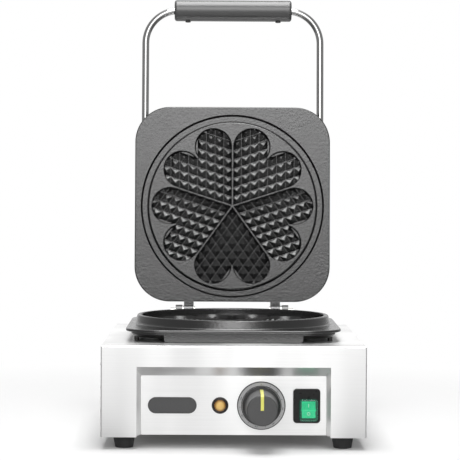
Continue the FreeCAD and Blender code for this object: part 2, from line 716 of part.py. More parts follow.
def lower_heating():
    heater("lower_heater", "lower_heater_z")
    clamp_bars("lower_heater_clamps", "lower_clamp_low", "lower_clamp_z")
    pan = Piece("lower_heater_pan")
    pan.pad("XY", "pan_shoulder_z", "skirt_z", rect("-half_pan", "pan_front", "half_pan", "pan_rear"))
    pan.round("pan_corner", every(along("Y"), level("Z", "pan_shoulder_z")))
    pan.pad("XY", "skirt_z", "flange_z", rect("-half_pan", "pan_front", "half_pan", "pan_front + pan_strip"),
            rect("-half_pan", "pan_rear - pan_strip", "half_pan", "pan_rear"))
    pan.pad("XY", "pan_low_z", "pan_shoulder_z",
            rect("-pan_neck_half", "pan_neck_front", "pan_neck_half", "pan_neck_rear"))
    pan.pocket("XY", "skirt_z", "pan_floor_z", rect(
        "-pan_neck_half + pan_wall", "pan_neck_front + pan_wall",
        "pan_neck_half - pan_wall", "pan_neck_rear - pan_wall"))
    pan.pad("XY", "pan_low_z", "lower_clamp_low", *circles(BOSS_PLACES, "boss_radius"))
    pan.pocket("XY", "pan_low_z - overrun", "lower_clamp_low + overrun", *circles(BOSS_PLACES, "m4_hole"))
    pan.pocket("XY", "pan_low_z - overrun", "pan_floor_z",
               ("knob_offset", "capillary_y", "capillary_radius + capillary_play"),
               *both_sides(("heater_spread", "heater_pin_end", "wire_hole_radius")))
    screws("lower_pan_screws", "XY", BOSS_PLACES, "m4_head_radius", "m4_radius",
           "pan_low_z - m4_head_height", "pan_low_z", "skirt_z - heater_gap")


# Heat shield: a hat-shaped tray hung under the housing's top by the plate studs.
sizes(shield_gap=9, shield_lap=16, shield_margin=8)
derive(
    shield_web="stud_spread - shield_lap / 2", shield_low="pan_low_z - shield_gap",
    shield_front="plate_front + shield_margin", shield_rear="plate_rear - shield_margin",
)


def heat_shield():
    shield = Piece("heat_shield")
    right = [("shield_web", "shield_low + sheet_wall"), ("shield_web", "ceiling_z"),
             ("shield_web + shield_lap", "ceiling_z"), ("shield_web + shield_lap", "ceiling_z - sheet_wall"),
             ("shield_web + sheet_wall", "ceiling_z - sheet_wall"), ("shield_web + sheet_wall", "shield_low")]
    left = [("-(%s)" % x, z) for x, z in reversed(right)]
    shield.pad("XZ", "shield_front", "shield_rear", right + left)
    shield.pocket("XY", "top_z", "ceiling_z - overrun", *circles(STUD_PLACES, "m4_hole"))
    shield.pocket("XY", "shield_low - overrun", "shield_low + overrun",
                  ("knob_offset", "capillary_y", "capillary_radius + capillary_play"),
                  *both_sides(("heater_spread", "heater_pin_end", "wire_hole_radius")))


# Thermostat behind the panel. Its capillary rises to a bulb that lies on the clamp bars, against the
# lower plate's heat, and a thermal cut-out sits under the pan.
sizes(
    thermostat_width=36, thermostat_height=44, thermostat_depth=30, thermostat_screw_half=14,
    thermostat_screw_grip=8, spindle_radius=3, spindle_play=1, spindle_seat=12, capillary_radius=1,
    capillary_bend=6, capillary_rise=12, capillary_lead=14, capillary_play=1, bulb_radius=3, bulb_half=48,
    cutout_radius=8, cutout_height=6.5, cutout_shift=25, tab_width=6, tab_length=8, tab_wall=0.8,
)
derive(
    thermostat_rear="panel_back + thermostat_depth", capillary_z="control_z + capillary_rise",
    capillary_y="plate_y - bulb_half - capillary_lead", bulb_z="lower_clamp_z + bulb_radius",
    cutout_y="plate_y + cutout_shift", cutout_low="pan_low_z - cutout_height",
)
THERMOSTAT_SCREW_PLACES = [("knob_offset - thermostat_screw_half", "control_z"),
                           ("knob_offset + thermostat_screw_half", "control_z")]


def thermostat():
    body = Piece("thermostat_body")
    body.pad("XZ", "panel_back", "thermostat_rear",
             centred("knob_offset", "control_z", "thermostat_width", "thermostat_height"))
    body.pocket("XZ", "panel_back - overrun", "panel_back + spindle_seat",
                ("knob_offset", "control_z", "spindle_radius + pin_play"))
    body.pocket("XZ", "panel_back - overrun", "panel_back + thermostat_screw_grip",
                *circles(THERMOSTAT_SCREW_PLACES, "m4_hole"))
    screws("thermostat_screws", "XZ", THERMOSTAT_SCREW_PLACES, "m4_head_radius", "m4_radius",
           "panel_y - dial_relief", "panel_y", "panel_back + thermostat_screw_grip - screw_play")
    bulb = Piece("thermostat_bulb")
    bulb.pipe("YZ", "knob_offset", [("thermostat_rear", "capillary_z"), ("capillary_y", "capillary_z"),
                                    ("capillary_y", "bulb_z"), ("plate_y - bulb_half", "bulb_z")],
              "capillary_bend", ("XZ", "thermostat_rear", "knob_offset", "capillary_z"), "capillary_radius")
    bulb.pad("XZ", "plate_y - bulb_half", "plate_y + bulb_half", ("knob_offset", "bulb_z", "bulb_radius"))
    cutout = Piece("thermal_cutout")
    cutout.pad("XY", "pan_low_z", "cutout_low", ("-knob_offset", "cutout_y", "cutout_radius"))
    middle = "(pan_low_z + cutout_low) / 2"
    cutout.pad("XY", middle, middle + " - tab_wall", centred(
        "-knob_offset", "cutout_y", "2 * cutout_radius + 2 * tab_length", "tab_width"))


# Dial ring and knob on the thermostat's spindle. The pointer is a coloured strip let into the knob,
# from the middle of its face over the edge and down to its waist.
sizes(
    dial_radius=24.2, dial_wall=2.4, dial_hole=19.4, dial_bevel=0.9, dial_relief=1.9, knob_gap=0.6,
    knob_base_radius=19, knob_skirt=7, knob_waist_radius=16.6, knob_face_radius=15.2, knob_height=46,
    knob_edge=1.4, knob_bore_depth=26, pointer_width=3.6, pointer_depth=1.2, pointer_stand=0.3,
)
derive(
    knob_back="-dial_relief - knob_gap", knob_front="-knob_height",
    knob_bore_end="knob_back - knob_bore_depth", knob_waist="knob_back - knob_skirt",
    pointer_face="knob_front - pointer_stand", pointer_back="knob_front + pointer_depth",
    pointer_end="knob_waist - pointer_stand",
)


def dial_and_knob():
    ring = Piece("dial_ring")
    ring.revolve("XY", [
        ("dial_hole", "0"), ("dial_radius", "0"), ("dial_radius", "dial_bevel - dial_wall"),
        ("dial_radius - dial_bevel", "-dial_wall"), ("dial_hole", "-dial_wall")])
    knob = Piece("knob")
    bore = "spindle_radius + pin_play"
    knob.revolve("XY", [
        (bore, "knob_back"), ("knob_base_radius", "knob_back"),
        ("knob_base_radius", "knob_back - knob_skirt / 2"), ("knob_waist_radius", "knob_waist"),
        ("knob_face_radius", "knob_front"), ("0", "knob_front"), ("0", "knob_bore_end"),
        (bore, "knob_bore_end")])
    knob.round("knob_edge", level("Y", "knob_front"))
    knob.pocket("YZ", "-pointer_width / 2", "pointer_width / 2", [
        ("knob_front - overrun", "0"), ("pointer_back", "0"),
        ("pointer_back", "knob_face_radius - pointer_depth"),
        ("knob_waist", "knob_waist_radius - pointer_depth"), ("knob_waist", "knob_base_radius"),
        ("knob_front - overrun", "knob_base_radius")])
    pointer = Piece("knob_pointer")
    pointer.pad("YZ", "-pointer_width / 2 + seat_gap", "pointer_width / 2 - seat_gap", [
        ("pointer_face", "seat_gap"), ("pointer_back", "seat_gap"),
        ("pointer_back", "knob_face_radius - pointer_depth + seat_gap"),
        ("pointer_end", "knob_waist_radius - pointer_depth + seat_gap"),
        ("pointer_end", "knob_waist_radius + pointer_stand"),
        ("knob_front + knob_edge", "knob_face_radius + pointer_stand"),
        ("pointer_face", "knob_face_radius - knob_edge")])
    pointer.round("pointer_stand", level("Y", "pointer_face"))
    spindle = Piece("thermostat_spindle")
    spindle.pad("XZ", "sheet_wall + spindle_seat - seat_gap", "knob_bore_end + seat_gap",
                ("0", "0", "spindle_radius"))
    for piece in (ring, knob, pointer, spindle):
        piece.place("knob_offset", "panel_y", "control_z")


# Pilot lamp: a bezel with a domed amber lens, and its body behind the panel.
sizes(
    lamp_bezel_radius=8.3, lamp_bezel_wall=2.4, lamp_seat=1.2, lamp_lens_radius=5.8, lamp_lens_rise=3.4,
    lamp_crown_radius=3.3, lamp_crown_drop=1.4, lamp_body_radius=5.3, lamp_body_depth=24,
)


def pilot_lamp():
    bezel = Piece("lamp_bezel")
    lens_seat = "lamp_lens_radius + seat_gap"
    bezel.revolve("XY", [
        ("lamp_body_radius", "0"), ("lamp_bezel_radius", "0"), ("lamp_bezel_radius", "-lamp_seat"),
        (lens_seat, "-lamp_bezel_wall"), (lens_seat, "-lamp_seat"), ("lamp_body_radius", "-lamp_seat")])
    lens = Piece("lamp_lens")
    crown = "-lamp_bezel_wall - lamp_lens_rise"
    lens.revolve("XY", [
        ("0", "-lamp_seat"), ("lamp_lens_radius", "-lamp_seat"), ("lamp_lens_radius", "-lamp_bezel_wall"),
        ("lamp_crown_radius", crown + " + lamp_crown_drop"), ("0", crown)])
    body = Piece("lamp_body")
    body.pad("XZ", "-lamp_seat + seat_gap", "lamp_body_depth", ("0", "0", "lamp_body_radius - pin_play"))
    body.pad("XZ", "lamp_body_depth", "lamp_body_depth + tab_length",
             *both_sides(centred("lamp_body_radius / 2", "0", "tab_wall", "tab_width")))
    for piece in (bezel, lens, body):
        piece.place("-lamp_offset", "panel_y", "control_z")


# Mains switch: a black snap-in frame, a green rocker and a clear splash cover over it.
sizes(
    switch_width=27, switch_height=34.4, switch_corner=3.6, switch_flange=3, switch_edge=0.8,
    switch_body_width=21.5, switch_body_height=29.4, switch_body_depth=24, switch_tab_pitch=9,
    rocker_shift=1.8, rocker_drop=4, rocker_width=13.6, rocker_half_height=8.3, rocker_tilt=10,
    rocker_play=0.4, rocker_pivot_depth=1.2, rocker_dip=1.6, rocker_root=4.5, rocker_root_half=5,
    rocker_axle_radius=1.2, rocker_axle_grip=0.6,
    cover_width=18.2, cover_height=22, cover_rise=5.6, cover_wall=0.7, cover_corner=3, cover_edge=1.2,
)
derive(
    switch_front="-switch_flange", rocker_y="switch_front + rocker_pivot_depth",
    rocker_face="-rocker_dip - rocker_half_height * tan(rocker_tilt)",
    well_width="rocker_width + 2 * rocker_play",
    well_height="2 * (rocker_half_height - rocker_face * sin(rocker_tilt) + rocker_play)",
    well_back="rocker_y + rocker_root + rocker_root_half * sin(rocker_tilt) + 2 * rocker_play",
    axle_half="well_width / 2 + rocker_axle_grip", cover_front="switch_front - cover_rise",
    rocker_x="switch_offset + rocker_shift", rocker_z="control_z - rocker_drop",
)


def mains_switch():
    frame = Piece("switch_housing")
    frame.pad("XZ", "0", "switch_front", centred("0", "0", "switch_width", "switch_height"))
    frame.round("switch_corner", along("Y"))
    frame.round("switch_edge", level("Y", "switch_front"))
    frame.pad("XZ", "0", "switch_body_depth", centred("0", "0", "switch_body_width", "switch_body_height"))
    frame.pad("XZ", "switch_body_depth", "switch_body_depth + tab_length", *[
        centred("0", "%d * switch_tab_pitch" % row, "tab_width", "tab_wall") for row in (-1, 0, 1)])
    frame.pocket("XZ", "switch_front - overrun", "well_back",
                 centred("rocker_shift", "-rocker_drop", "well_width", "well_height"))
    frame.pocket("YZ", "rocker_shift - axle_half - rocker_play", "rocker_shift + axle_half + rocker_play",
                 ("rocker_y", "-rocker_drop", "rocker_axle_radius + pin_play"))
    frame.place("switch_offset", "panel_y", "control_z")
    rocker = Piece("switch_rocker")
    rocker.pad("YZ", "-rocker_width / 2", "rocker_width / 2", [
        ("-rocker_dip", "0"), ("rocker_face", "rocker_half_height"), ("0", "rocker_half_height"),
        ("rocker_root", "rocker_root_half"), ("rocker_root", "-rocker_root_half"),
        ("0", "-rocker_half_height"), ("rocker_face", "-rocker_half_height")])
    rocker.pad("YZ", "-axle_half", "axle_half", ("0", "0", "rocker_axle_radius"))
    rocker.tip_over("-rocker_tilt").place("rocker_x", "panel_y + rocker_y", "rocker_z")
    cover = Piece("switch_cover")
    cover.pad("XZ", "switch_front", "cover_front", centred("0", "0", "cover_width", "cover_height"))
    cover.round("cover_corner", along("Y"))
    cover.round("cover_edge", level("Y", "cover_front"))
    cover.shell("cover_wall", level("Y", "switch_front"))
    cover.place("rocker_x", "panel_y", "rocker_z")


# Bare badge plate with round ends and a thin raised rim.
sizes(badge_width=48.7, badge_height=16.3, badge_wall=1.4, badge_rim=0.9, badge_sink=0.5)
derive(
    badge_straight="badge_width - badge_height", badge_field="badge_height - 2 * badge_rim",
    badge_face="-badge_wall + badge_sink",
)


def badge():
    plate = Piece("badge_plate")
    plate.pad("XZ", "0", "-badge_wall", centred("0", "0", "badge_straight", "badge_height"))
    plate.pad("XZ", "0", "-badge_wall", *both_sides(("badge_straight / 2", "0", "badge_height / 2")))
    front = "-badge_wall - overrun"
    plate.pocket("XZ", front, "badge_face", centred("0", "0", "badge_straight", "badge_field"))
    plate.pocket("XZ", front, "badge_face", *both_sides(("badge_straight / 2", "0", "badge_field / 2")))
    plate.place("-badge_offset", "panel_y", "control_z")


# Glands where the mains cord and the lid's flexible conduit go in.
sizes(
    gland_offset=80, gland_height=26, gland_neck=8, gland_bore=4.5, gland_hex=13, gland_hex_wall=6,
    gland_dome_radius=10.5, gland_dome_length=14, gland_taper=3, gland_nut_wall=5, gland_spare=2,
    conduit_drop=24, conduit_neck=6, conduit_bore=3.6, conduit_hex=10.5, conduit_dome_radius=8.5,
    conduit_dome_length=11,
)
derive(
    gland_z="foot_height + gland_height", conduit_z="top_z - conduit_drop",
    gland_stem="sheet_wall + gland_nut_wall + gland_spare",
)


def gland(label, kind):
    """A cord gland that points along Y, with its hexagon on Y = 0 and its neck behind."""
    piece = Piece(label)
    neck, dome = kind + "_neck", kind + "_dome_radius"
    mouth = "gland_hex_wall + %s_dome_length" % kind
    piece.pad("XZ", "0", "gland_hex_wall", hexagon("0", "0", kind + "_hex"))
    piece.revolve("XY", [
        ("0", "-gland_stem"), (neck, "-gland_stem"), (neck, "gland_hex_wall / 2"),
        (dome, "gland_hex_wall / 2"), (dome, mouth + " - gland_taper"), (dome + " - gland_taper", mouth),
        ("0", mouth)])
    piece.pocket("XZ", "-gland_stem - overrun", mouth + " + overrun", ("0", "0", kind + "_bore"))
    return piece


def glands():
    gland("mains_gland", "gland").place("-gland_offset", "rear_y", "gland_z")
    gland("base_conduit_gland", "conduit").place("gland_offset", "rear_y", "conduit_z")
    locknuts = Piece("gland_nuts")
    add_nuts(locknuts, "XZ", [("-gland_offset", "gland_z")], "gland_hex", "gland_neck + pin_play",
             "rear_in", "rear_in - gland_nut_wall")
    add_nuts(locknuts, "XZ", [("gland_offset", "conduit_z")], "conduit_hex", "conduit_neck + pin_play",
             "rear_in", "rear_in - gland_nut_wall")


# Hinge: the lid's lugs turn on two headed pins, held by brackets on the housing's top. A bar behind
# the pins stops the heels of the lugs when the lid is open.
sizes(
    hinge_gap=11.6, hinge_height=16, lid_open=94, lug_spread=49, lug_width=11, lug_radius=8, lug_root=12,
    heel_reach=10, heel_height=8, pin_radius=4, pin_head_radius=4.7, pin_head_length=5.9, pin_tail=4,
    bracket_gap=1.8, bracket_width=7.4, bracket_radius=8, bracket_foot_reach=21, bracket_foot_gap=0.6,
    bracket_foot_wall=4, bracket_bolt_half=8, washer_radius=7, washer_gap=0.2, clip_radius=6.4,
    clip_wall=1.2, clip_seat=0.7, stop_gap=0.3, stop_depth=14, stop_margin=0.4, stop_screw_spread=20,
)
derive(
    hinge_y="plate_rear + hinge_gap", hinge_z="top_z + hinge_height",
    lug_in="lug_spread - lug_width / 2", lug_out="lug_spread + lug_width / 2",
    bracket_in="lug_out + bracket_gap", bracket_out="bracket_in + bracket_width",
    bracket_bolt_x="bracket_out + bracket_foot_reach / 2", bracket_foot_z="top_z + bracket_foot_wall",
    bracket_foot_half="hinge_y - pan_rear - bracket_foot_gap",
    stop_z="hinge_z - heel_reach * sin(lid_open) + heel_height * cos(lid_open) - stop_gap",
    stop_half="bracket_in - stop_margin", stop_screw_y="hinge_y + stop_depth / 2",
    clip_face="lug_in - washer_gap",
)
BRACKET_PLACES = four("bracket_bolt_x", "hinge_y - bracket_bolt_half", "hinge_y + bracket_bolt_half")
STOP_PLACES = [("-stop_screw_spread", "stop_screw_y"), ("stop_screw_spread", "stop_screw_y")]


def on_axis(radius):
    """A circle round the hinge axis, on a YZ plane."""
    return ("hinge_y", "hinge_z", radius)


def hinge():
    washers, clips = Piece("hinge_washers"), Piece("hinge_pin_clips")
    for name, side in (("left", "-"), ("right", "+")):

        def at(rule, side=side):
            return "%s(%s)" % (side, rule)

        bracket = Piece("hinge_bracket_" + name)
        bracket.pad("YZ", at("bracket_in"), at("bracket_out"), on_axis("bracket_radius"))
        bracket.pad("YZ", at("bracket_in"), at("bracket_out"),
                    rect("hinge_y - bracket_radius", "top_z", "hinge_y + bracket_radius", "hinge_z"))
        bracket.pad("XY", "top_z", "bracket_foot_z", rect(
            at("bracket_in"), "hinge_y - bracket_foot_half",
            at("bracket_out + bracket_foot_reach"), "hinge_y + bracket_foot_half"))
        bracket.pocket("XY", "top_z - overrun", "bracket_foot_z + overrun", *[
            (x, y, "m5_hole") for x, y in BRACKET_PLACES if x.startswith(side)])
        bracket.pocket("YZ", at("bracket_in - overrun"), at("bracket_out + overrun"),
                       on_axis("pin_radius + pin_play"))
        pin = Piece("hinge_pin_" + name)
        pin.pad("YZ", at("lug_in - pin_tail"), at("bracket_out"), on_axis("pin_radius"))
        pin.pad("YZ", at("bracket_out"), at("bracket_out + pin_head_length"), on_axis("pin_head_radius"))
        pin.pocket("YZ", at("clip_face"), at("clip_face - clip_wall"),
                   on_axis("pin_radius + overrun"), on_axis("pin_radius - clip_seat"))
        washers.pad("YZ", at("lug_out + washer_gap"), at("bracket_in - washer_gap / 2"),
                    on_axis("washer_radius"), on_axis("pin_radius + pin_play"))
        clips.pad("YZ", at("clip_face - pin_play"), at("clip_face - clip_wall + pin_play"),
                  on_axis("clip_radius"), on_axis("pin_radius - clip_seat + pin_play"))
    screws("bracket_bolts", "XY", BRACKET_PLACES, "m5_head_radius", "m5_radius",
           "bracket_foot_z + m5_head_height", "bracket_foot_z", "ceiling_z - m5_nut_height - m5_spare")
    bar = Piece("lid_stop_bar")
    bar.pad("XY", "top_z", "stop_z", rect("-stop_half", "hinge_y", "stop_half", "hinge_y + stop_depth"))
    bar.pocket("XY", "top_z - overrun", "stop_z + overrun", *circles(STOP_PLACES, "m4_hole"))
    screws("stop_bar_screws", "XY", STOP_PLACES, "m4_head_radius", "m4_radius",
           "stop_z + m4_head_height", "stop_z", "ceiling_z - m4_spare")


def m5_nuts():
    """The nuts of the feet and of the hinge brackets."""
    piece = Piece("m5_nuts")
    for places, start, end in ((FOOT_PLACES, "bottom_top", "bottom_top + m5_nut_height"),
                               (BRACKET_PLACES, "ceiling_z", "ceiling_z - m5_nut_height")):
        add_nuts(piece, "XY", places, "m5_nut_radius", "m5_radius + pin_play", start, end)


def swing(thing, y="0", z="0"):
    """Place a lid piece, drawn with the lid shut, where the open lid holds it."""
    turn = FreeCAD.Rotation(Vector(1, 0, 0), -val("lid_open"))
    thing.Placement = FreeCAD.Placement(Vector(0, 0, 0), turn)
    ahead, up = "((%s) - hinge_y)" % y, "((%s) - hinge_z)" % z
    bind(thing, **{
        "Placement.Base.y": "hinge_y + %s * cos(lid_open) + %s * sin(lid_open)" % (ahead, up),
        "Placement.Base.z": "hinge_z - %s * sin(lid_open) + %s * cos(lid_open)" % (ahead, up),
        "Placement.Rotation.Angle": "-lid_open",
    })


# Upper plate, drawn with the lid shut: it faces down over the lower plate, its groove with sloping
# sides takes the rim, and sockets cast on its back hold the handle's rod.
sizes(
    rim_bite=3.5, rim_clearance=0.5, bake_gap=1, groove_play_in=1.9, groove_play_out=2.3, groove_draft=2,
    lid_flange_wall=5, lid_skirt_rise=4.2, lid_skirt_inset=4.5, rod_inset=10.3, rod_radius=4, rod_lift=25,
    rod_play=0.1, socket_width=12, socket_length=18, socket_cap=6, socket_front=52, socket_rear=8,
    set_screw_radius=2.5,
)
derive(
    lid_face="rim_top - rim_bite", lid_disc="well_z + bake_gap", lid_back="lid_face + lid_flange_wall",
    lid_top="lid_back + lid_skirt_rise", half_lid_skirt="half_plate - lid_skirt_inset",
    groove_top="rim_top + rim_clearance", groove_in="rim_inner_radius - groove_play_in",
    groove_out="rim_outer_radius + groove_play_out", groove_root_in="groove_in + groove_draft",
    groove_root_out="groove_out - groove_draft", rod_spread="half_plate - rod_inset",
    rod_z="lid_face + rod_lift", socket_top="rod_z + rod_radius + socket_cap", lug_y="hinge_y - plate_y",
)
SOCKET_PLACES = four("rod_spread", "-socket_front", "socket_rear")


def upper_plate(one_heart):
    flange = Piece("upper_plate_flange", node=False)
    flange.pad("XY", "lid_face", "lid_back", centred("0", "-rim_shift", "plate_side", "plate_side"))
    flange.round("plate_corner", along("Z"))
    flange.round("flange_round", any_of(level("Z", "lid_face"), level("Z", "lid_back")))
    flange.revolve("XZ", [
        ("groove_in", "lid_disc - overrun"), ("groove_out", "lid_disc - overrun"), ("groove_out", "lid_face"),
        ("groove_root_out", "groove_top"), ("groove_in", "groove_top")], "Groove")
    flange.revolve("XZ", [
        ("0", "lid_disc"), ("groove_in", "lid_disc"), ("groove_root_in", "groove_top"),
        ("groove_root_in", "lid_back"), ("0", "lid_back")])
    flange.round("flange_round", level("Z", "lid_disc"))
    skirt = Piece("upper_plate_skirt", node=False)
    bosses = moved(BOSS_PLACES, "-plate_y")
    skirt.pad("XY", "lid_back", "lid_top", centred("0", "0", "2 * half_lid_skirt", "2 * half_lid_skirt"))
    skirt.round("plate_corner - lid_skirt_inset", along("Z"))
    skirt.pad("XY", "lid_top", "upper_clamp_z", *circles(bosses, "boss_radius"))
    skirt.pocket("XY", "upper_clamp_z", "lid_top", *circles(bosses, "m4_hole"))
    skirt.pad("XY", "lid_top", "socket_top",
              *[centred(x, y, "socket_width", "socket_length") for x, y in SOCKET_PLACES])
    skirt.pocket("XZ", "-half_plate", "half_plate",
                 *both_sides(("rod_spread", "rod_z", "rod_radius + rod_play")))
    skirt.pocket("XY", "socket_top + overrun", "rod_z",
                 *circles(SOCKET_PLACES, "set_screw_radius + pin_play"))
    lugs = Piece("upper_plate_lugs", node=False)
    for side in "-+":
        start, end = side + "(lug_in)", side + "(lug_out)"
        lugs.pad("YZ", start, end, ("lug_y", "hinge_z", "lug_radius"))
        lugs.pad("YZ", start, end, rect("half_plate - lug_root", "lid_face", "lug_y", "hinge_z + lug_radius"))
        lugs.pad("YZ", start, end, rect("lug_y", "hinge_z", "lug_y + heel_reach", "hinge_z + heel_height"))
    lugs.pocket("YZ", "-lug_out - overrun", "lug_out + overrun",
                ("lug_y", "hinge_z", "pin_radius + pin_play"))
    for piece, y in ((flange, "rim_y"), (skirt, "plate_y"), (lugs, "plate_y")):
        swing(piece.body, y)
    cavities = doc.addObject("Part::Feature", "upper_hearts")
    cavities.Shape = ring_of_hearts(one_heart, True)
    swing(cavities, "rim_y", "lid_disc")
    cut_hearts("upper_plate", [flange, skirt, lugs], cavities)


# Upper heater, its clamps on standoffs, and the steel cover over them.
sizes(
    lid_cover_rise=27, lid_cover_play=3, lid_cover_front=13, lid_cover_rear=19, lid_cover_bend=18,
    lid_cover_edge=7, standoff_radius=4, standoff_bore=9, cover_screw_grip=7, lid_gland_offset=40,
    lid_gland_height=13,
)
derive(
    upper_clamp_z="lid_top + boss_height", upper_clamp_top="upper_clamp_z + clamp_wall",
    upper_heater_z="lid_top + heater_gap + heater_radius", lid_cover_top="lid_top + lid_cover_rise",
    lid_cover_half="rod_spread - socket_width / 2 - lid_cover_play",
    lid_cover_rear_y="plate_rear - lid_cover_rear", standoff_top="lid_cover_top - sheet_wall",
    lid_gland_z="lid_top + lid_gland_height",
)


def upper_heating():
    tube = heater("upper_heater", "upper_heater_z")
    bars = clamp_bars("upper_heater_clamps", "upper_clamp_z", "upper_clamp_top")
    standoffs = Piece("cover_standoffs")
    standoffs.pad("XY", "upper_clamp_top", "standoff_top",
                  *[hexagon(x, y, "standoff_radius") for x, y in BOSS_PLACES])
    standoffs.pad("XY", "upper_clamp_top", "lid_top + heater_gap", *circles(BOSS_PLACES, "m4_radius"))
    standoffs.pocket("XY", "standoff_top", "standoff_top - standoff_bore", *circles(BOSS_PLACES, "m4_hole"))
    cover = Piece("upper_cover")
    cover.pad("XY", "lid_top", "lid_cover_top", rect(
        "-lid_cover_half", "plate_front + lid_cover_front", "lid_cover_half", "lid_cover_rear_y"))
    cover.round("lid_cover_bend", along("Z"))
    cover.round("lid_cover_edge", level("Z", "lid_cover_top"))
    cover.shell("sheet_wall", level("Z", "lid_top"))
    cover.pocket("XY", "lid_cover_top + overrun", "lid_cover_top - overrun", *circles(BOSS_PLACES, "m4_hole"))
    cover.pocket("XZ", "lid_cover_rear_y + overrun", "lid_cover_rear_y - overrun",
                 ("lid_gland_offset", "lid_gland_z", "conduit_neck + screw_play"))
    fixings = screws("cover_screws", "XY", BOSS_PLACES, "m4_head_radius", "m4_radius",
                     "lid_cover_top + m4_head_height", "lid_cover_top", "standoff_top - cover_screw_grip")
    for piece in (tube, bars, standoffs, cover, fixings):
        swing(piece.body)
    conduit = gland("lid_conduit_gland", "conduit")
    swing(conduit.body, "lid_cover_rear_y", "lid_gland_z")
    bind(conduit.body, **{"Placement.Base.x": "lid_gland_offset"})


# Handle: a bright rod bent to a U and held by set screws, with a grip on its cross bar.
sizes(
    grip_reach=348, grip_lap=4.8, grip_radius=12.2, grip_edge=3, rod_bend=38, grip_mouth_play=1.2,
    grip_mouth_depth=7, grip_screw_inset=15.5, grip_screw_radius=1.5, grip_screw_head=3,
    grip_screw_sink=1.6, grip_screw_stand=1.2,
)
derive(
    grip_y="hinge_y - grip_reach", grip_half="rod_spread - rod_bend + grip_lap",
    grip_rim="grip_y + grip_radius", rod_end="plate_y + socket_rear + socket_length / 2",
)


def handle():
    rod = Piece("handle_rod")
    rod.pipe("XY", "rod_z", [("-rod_spread", "rod_end"), ("-rod_spread", "grip_y"),
                             ("rod_spread", "grip_y"), ("rod_spread", "rod_end")],
             "rod_bend", ("XZ", "rod_end", "-rod_spread", "rod_z"), "rod_radius")
    grip = Piece("handle_grip")
    grip.pad("YZ", "-grip_half", "grip_half", ("grip_y", "rod_z", "grip_radius"))
    grip.round("grip_edge", any_of(level("X", "-grip_half"), level("X", "grip_half")))
    grip.pocket("YZ", "-grip_half - overrun", "grip_half + overrun",
                ("grip_y", "rod_z", "rod_radius + rod_play"))
    for side in "-+":
        grip.pocket("YZ", side + "(grip_half + overrun)", side + "(grip_half - grip_mouth_depth)",
                    ("grip_y", "rod_z", "rod_radius + grip_mouth_play"))
    places = [(side + "(grip_half - grip_screw_inset)", "rod_z") for side in "-+"]
    grip.pocket("XZ", "grip_rim + overrun", "grip_rim - grip_screw_sink",
                *circles(places, "grip_screw_head + pin_play"))
    grip.pocket("XZ", "grip_rim", "grip_y", *circles(places, "grip_screw_radius + pin_play"))
    small = screws("grip_screws", "XZ", places, "grip_screw_head", "grip_screw_radius",
                   "grip_rim + grip_screw_stand", "grip_rim - grip_screw_sink",
                   "grip_y + rod_radius + rod_play")
    holders = Piece("rod_set_screws")
    holders.pad("XY", "socket_top", "rod_z + rod_radius + pin_play",
                *circles(moved(SOCKET_PLACES, "plate_y"), "set_screw_radius"))
    for piece in (rod, grip, small, holders):
        swing(piece.body)


def check_and_export():
    """Stop on anything that failed, then write one file for each sub-part."""
    doc.recompute()
    failed = [thing.Name for thing in doc.Objects if "Invalid" in thing.State or "Error" in thing.State]
    for node in nodes:
        if node.Shape.isNull() or not node.Shape.isValid() or not node.Shape.Solids:
            failed.append(node.Label)
    if failed:
        raise RuntimeError("failed: " + ", ".join(failed))
    os.makedirs("parts", exist_ok=True)
    for node in nodes:
        node.Shape.exportStep("parts/%s.step" % node.Label)


housing_shell()
feet()
control_panel()
bottom_plate()
rear_panel()
terminals()
one_heart = heart()
lower_plate(one_heart)
lower_heating()
heat_shield()
thermostat()
dial_and_knob()
pilot_lamp()
mains_switch()
badge()
glands()
hinge()
m5_nuts()
upper_plate(one_heart)
upper_heating()
handle()
check_and_export()
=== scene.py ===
import json
from math import cos, pi, radians, sin

import bmesh
import bpy
from mathutils import Matrix, Vector


